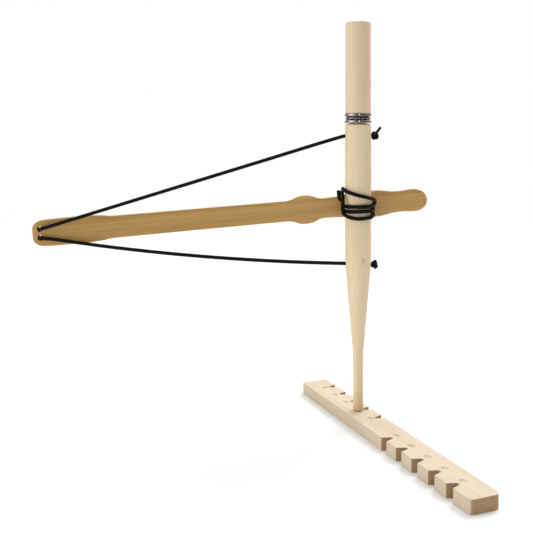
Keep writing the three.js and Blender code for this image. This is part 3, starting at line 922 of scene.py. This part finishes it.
def bow_cord(material):
    """The cord from one stopper knot, through the drill, the stave's tip holes and back to the other."""
    upper = seated_knot(
        UPPER_KNOT,
        UPPER_HOLE,
        bulge=(0, -0.17, 0.98),
        tail_direction=(0.6, -0.12, 0.79),
        tail_length=UPPER_TAIL,
        flatten=0.6,
        stretch=1.15,
        rise=0.5,
    )
    lower = seated_knot(
        LOWER_KNOT,
        LOWER_HOLE,
        bulge=(0, -0.7, -0.7),
        tail_direction=(0.85, -0.2, -0.5),
        tail_length=LOWER_TAIL,
        flatten=0.52,
        stretch=1.3,
        rise=-1.1,
    )
    reach = CORD_HOLE_SPREAD / 2
    front = STAVE_FRONT - CORD_RADIUS - 1.7
    behind = STAVE_BACK + CORD_RADIUS + 1.4
    left = -SHAFT_RADIUS - 1.5
    upper_mouth, lower_mouth = np.array([left, 0.1, UPPER_HOLE]), np.array([left, 0.1, LOWER_HOLE])

    def at_hole(side, depth, shift=0):
        return on_stave(CORD_HOLES_AT + shift, side * reach, depth)

    upper_bend = at_hole(1, front, 6) + (0, 0, 1.2)
    lower_bend = at_hole(-1, front, 6) - (0, 0, 0.2)
    upper_leg = [upper_mouth + (upper_bend - upper_mouth) * share for share in (0.04, 0.25, 0.5, 0.75, 0.97)]
    lower_leg = []
    for share in (0.03, 0.2, 0.4, 0.6, 0.8, 0.96):
        place = lower_bend + (lower_mouth - lower_bend) * share
        lower_leg.append(place - (0, 0, CORD_SAG * 4 * share * (1 - share)))
    through = [
        at_hole(1, STAVE_FRONT - 1.2, 0.4),
        at_hole(1, (STAVE_FRONT + STAVE_BACK) / 2),
        at_hole(1, STAVE_BACK + 0.8),
        on_stave(CORD_HOLES_AT, reach * 0.55, behind),
        on_stave(CORD_HOLES_AT, -reach * 0.55, behind),
        at_hole(-1, STAVE_BACK + 0.8),
        at_hole(-1, (STAVE_FRONT + STAVE_BACK) / 2),
        at_hole(-1, STAVE_FRONT - 1.2, 0.4),
    ]
    upper_hole = [(-10, 0, UPPER_HOLE), (-SHAFT_RADIUS, 0, UPPER_HOLE)]
    lower_hole = [(-SHAFT_RADIUS, 0, LOWER_HOLE), (-10, 0, LOWER_HOLE)]
    places = np.vstack([upper[::-1], upper_hole, upper_leg, through, lower_leg, lower_hole, lower])
    lengths = [np.linalg.norm(np.diff(knot, axis=0), axis=1).sum() - SHAFT_RADIUS for knot in (upper, lower)]
    radius_at = cord_radius(lengths, (UPPER_KNOT, LOWER_KNOT), (UPPER_TAIL, LOWER_TAIL))
    cord = braid("bow_cord_braid", places, material, radius_at)
    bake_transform(cord)
    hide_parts("bow_cord", "upper_stopper_knot", "lower_stopper_knot")


def lashing_cord(material):
    """One cord, from the upper end of its slant across the drill's front to its end above the stave.

    It slants down to the right, goes under the stave and up behind it, comes over it and down the drill's
    left side, and makes three turns round the drill.
    """
    radius = SHAFT_RADIUS + CORD_RADIUS + 0.25
    behind = STAVE_BACK + 2.2

    def place(x, y, z):
        return (x, y, BOARD_TOP + z)

    def wound(stops):
        """Stops are (angle, height, distance off the drill); 180 is left, 270 front, 360 right, 450 back."""
        made = []
        for (a0, z0, out0), (a1, z1, out1) in zip([stops[0], *stops], stops):
            steps = max(1, math.ceil(abs(a1 - a0) / 30))
            for i in range(steps):
                share = (i + 1) / steps
                angle = math.radians(a0 + (a1 - a0) * share)
                distance = radius + out0 + (out1 - out0) * share
                height = z0 + (z1 - z0) * share
                made.append(place(distance * math.cos(angle), distance * math.sin(angle), height))
        return made

    slant = [(176, 218.3, 0.2), (192, 217.5, 0.1), (270, 212, 0), (345, 207.8, 0.3), (362, 206.6, 1.7)]
    left_side = [(198, 210.5, 1), (205, 206.8, 2.6), (211, 202.2, 3.95), (212, 197, 3.95), (213, 195.2, 3.8)]
    low_front = [(217, 193.1, 2.5), (235, 190.7, 0.5), (265, 189.7, 0), (300, 190.3, 0), (330, 191.5, 0)]
    second_turn = [(355, 193, 0), (450, 194.8, 0), (540, 196.2, 0), (630, 196.6, 0), (720, 197.2, 0)]
    third_turn = [(810, 199, 0), (900, 201.1, 0), (1080, 201.6, 0), (1170, 203.1, 0), (1205, 204.2, 0.1)]
    places = [
        *wound(slant),
        place(17.3, 7.6, 203.6),
        place(16.6, 9.2, 200.6),
        place(16, 10.2, 197.5),
        place(15.8, 10.4, 193),
        place(14.2, 12.4, 188.2),
        place(11.8, STAVE_FRONT + 0.4, 185.2),
        place(11.2, STAVE_BACK - 1.4, 185.2),
        place(9.6, behind - 0.1, 188),
        place(0, behind, 197.2),
        place(-11.6, behind, 207.4),
        place(-14, behind - 0.6, 211.4),
        place(-14.4, STAVE_BACK - 1.6, 213.2),
        place(-14.6, 14.8, 213.6),
        place(-14.4, 8, 214.1),
        place(-15.2, 2.5, 214.1),
        place(-15.8, -2.2, 213),
        *wound([*left_side, *low_front, *second_turn, *third_turn]),
        place(-15.6, 9.9, 206),
        place(-17.7, 9.4, 208.6),
        place(-18.3, 9, 212),
        place(-18.3, 9.1, 216.2),
    ]
    cord = braid("lashing_cord_braid", places, material)
    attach(cord, "drill")
    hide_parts("lashing_cord")


# ------------------------------------------------------------------ all pieces
upright_axes = ((1, 0, 0), (0, 1, 0), (0, 0, 1))
board_cos, board_sin = math.cos(BOARD_TURN), math.sin(BOARD_TURN)
board_axes = ((-board_sin, board_cos, 0), (0, 0, 1), (board_cos, board_sin, 0))
stave_cos, stave_sin = math.cos(STAVE_TILT), math.sin(STAVE_TILT)
stave_axes = ((-stave_sin, 0, stave_cos), (0, 1, 0), (stave_cos, 0, stave_sin))

board_wood = wood(
    "board_wood",
    board_axes,
    pale=screen(229, 214, 193),
    dark=screen(211, 188, 159),
    end_tint=(0.58, 0.46, 0.33),
    pith=(30, 60),
    # painted shade: the board's sides are darkened, for the weaker light from the shaded floor beside the
    # board
    side_shade_tint=(0.9, 0.88, 0.85),
)
hearth_board(board_wood)
drill_wood = wood(
    "drill_wood",
    upright_axes,
    pale=screen(239, 221, 187),
    dark=screen(217, 191, 151),
    end_tint=(0.8, 0.7, 0.6),
    pith=(70, 45),
    # darker towards the drill's tip, darkest at the tip itself
    darker_bands=[(40, 14, (0.85, 0.78, 0.68)), (17, 12, (0.5, 0.4, 0.3))],
    pin_knots=[((3.8, -12.2, BOARD_TOP + 148.7), (0.78, 0.74, 0.68))],
)
drill_spindle(drill_wood)
grip_wood = wood(
    "grip_wood",
    upright_axes,
    pale=screen(236, 215, 184),
    dark=screen(217, 190, 155),
    end_tint=(0.8, 0.7, 0.6),
    pith=(-60, 40),
)
hand_grip(grip_wood)
washer_steel = steel("bearing_steel", (0.38, 0.32, 0.31), 0.05, True)
# Painted shade: the balls' steel is darker than the washers', so the gap between the washers stays dark.
ball_steel = steel("ball_steel", (0.26, 0.25, 0.26), 0.03, False)
washer("bearing_lower_washer", "drill", LOWER_WASHER_BORE, True, washer_steel)
washer("bearing_upper_washer", "grip", UPPER_WASHER_BORE, False, washer_steel)
# Painted shade: the cage's steel is darker still, which dims its highlight in the shaded gap between the
# washers.
bearing_cage(steel("cage_steel", (0.2, 0.17, 0.16), 0.14, True))
for ball_name in ball_names:
    bearing_ball(ball_name, ball_steel)
bow_stave(bamboo("bamboo", stave_axes))
cord_material = braided_cord("cord")
bow_cord(cord_material)
lashing_cord(cord_material)


# ------------------------------------------------------------------ studio
ROOM = 0.34  # light of the bare walls
FRONT_LOSS = 0.6  # share of it that the front wall lacks
SOFTBOXES = (  # direction, strength, sharpness
    ((0.2, 0.3, 0.93), 1.1, 2.0),
    ((0.4, 0.5, 0.77), 8.2, 40.0),
    ((-0.93, -0.34, 0.15), 2.0, 7.0),
    ((0.07, -0.99, 0.06), 6.0, 300.0),
)


def studio():
    """A white room, darker in front, with softboxes above and behind, on the left and by the camera."""
    scene = bpy.context.scene
    scene.view_settings.view_transform = "Standard"
    world = bpy.data.worlds.new("studio")
    scene.world = world
    world.use_nodes = True
    tree = world.node_tree
    background = tree.nodes["Background"]
    background.inputs["Color"].default_value = (1, 1, 1, 1)
    direction = tree.nodes.new("ShaderNodeTexCoord").outputs["Generated"]

    def combine(operation, *values):
        made = tree.nodes.new("ShaderNodeMath")
        made.operation = operation
        for socket, value in zip(made.inputs, values):
            if isinstance(value, bpy.types.NodeSocket):
                tree.links.new(value, socket)
            else:
                socket.default_value = value
        return made.outputs[0]

    def lobe(towards, sharpness):
        """1 towards a direction, falling to 0 at right angles to it. Sharper lobes are narrower."""
        dot = tree.nodes.new("ShaderNodeVectorMath")
        dot.operation = "DOT_PRODUCT"
        tree.links.new(direction, dot.inputs[0])
        dot.inputs[1].default_value = tuple(unit(towards))
        return combine("POWER", combine("MAXIMUM", dot.outputs["Value"], 0.0), sharpness)

    level = combine("MULTIPLY_ADD", lobe((0, -1, 0), 1.0), -ROOM * FRONT_LOSS, ROOM)
    for towards, strength, sharpness in SOFTBOXES:
        level = combine("MULTIPLY_ADD", lobe(towards, sharpness), strength, level)
    seen = tree.nodes.new("ShaderNodeMix")
    tree.links.new(tree.nodes.new("ShaderNodeLightPath").outputs["Is Camera Ray"], seen.inputs[0])
    tree.links.new(level, seen.inputs[2])
    seen.inputs[3].default_value = 1.0
    tree.links.new(seen.outputs[0], background.inputs["Strength"])

    reach = 1800
    corners = [(-reach, -reach, 0), (reach, -reach, 0), (reach, reach, 0), (-reach, reach, 0)]
    floor = mesh_object("floor", corners, [(0, 1, 2, 3)])
    floor.data.materials.append(Shader("floor").finish(Base_Color=(0.93, 0.93, 0.93), Roughness=0.9))


def photo_camera():
    """A level camera left of the drill and above the bow, its lens shifted down as on a view camera."""
    data = bpy.data.cameras.new("camera")
    camera = bpy.data.objects.new("camera", data)
    bpy.context.scene.collection.objects.link(camera)
    stand_off = 748
    lens_shift = -0.2387  # as a share of the picture's longer side
    camera.location = Vector((-90.2, -stand_off, BOARD_TOP + 265.7)) * MM
    camera.rotation_euler = (math.radians(90), 0, 0)
    data.sensor_width = 36
    data.lens = 50.9
    data.clip_start = 0.01
    # The shift holds only at this distance in front of the drill, so that views from elsewhere are centred.
    driver = data.driver_add("shift_y").driver
    place = driver.variables.new()
    place.name = "y"
    place.targets[0].id = camera
    place.targets[0].data_path = "location[1]"
    driver.expression = f"{lens_shift} if abs(y + {stand_off * MM}) < {MM / 2} else 0"
    bpy.context.scene.camera = camera


studio()
photo_camera()
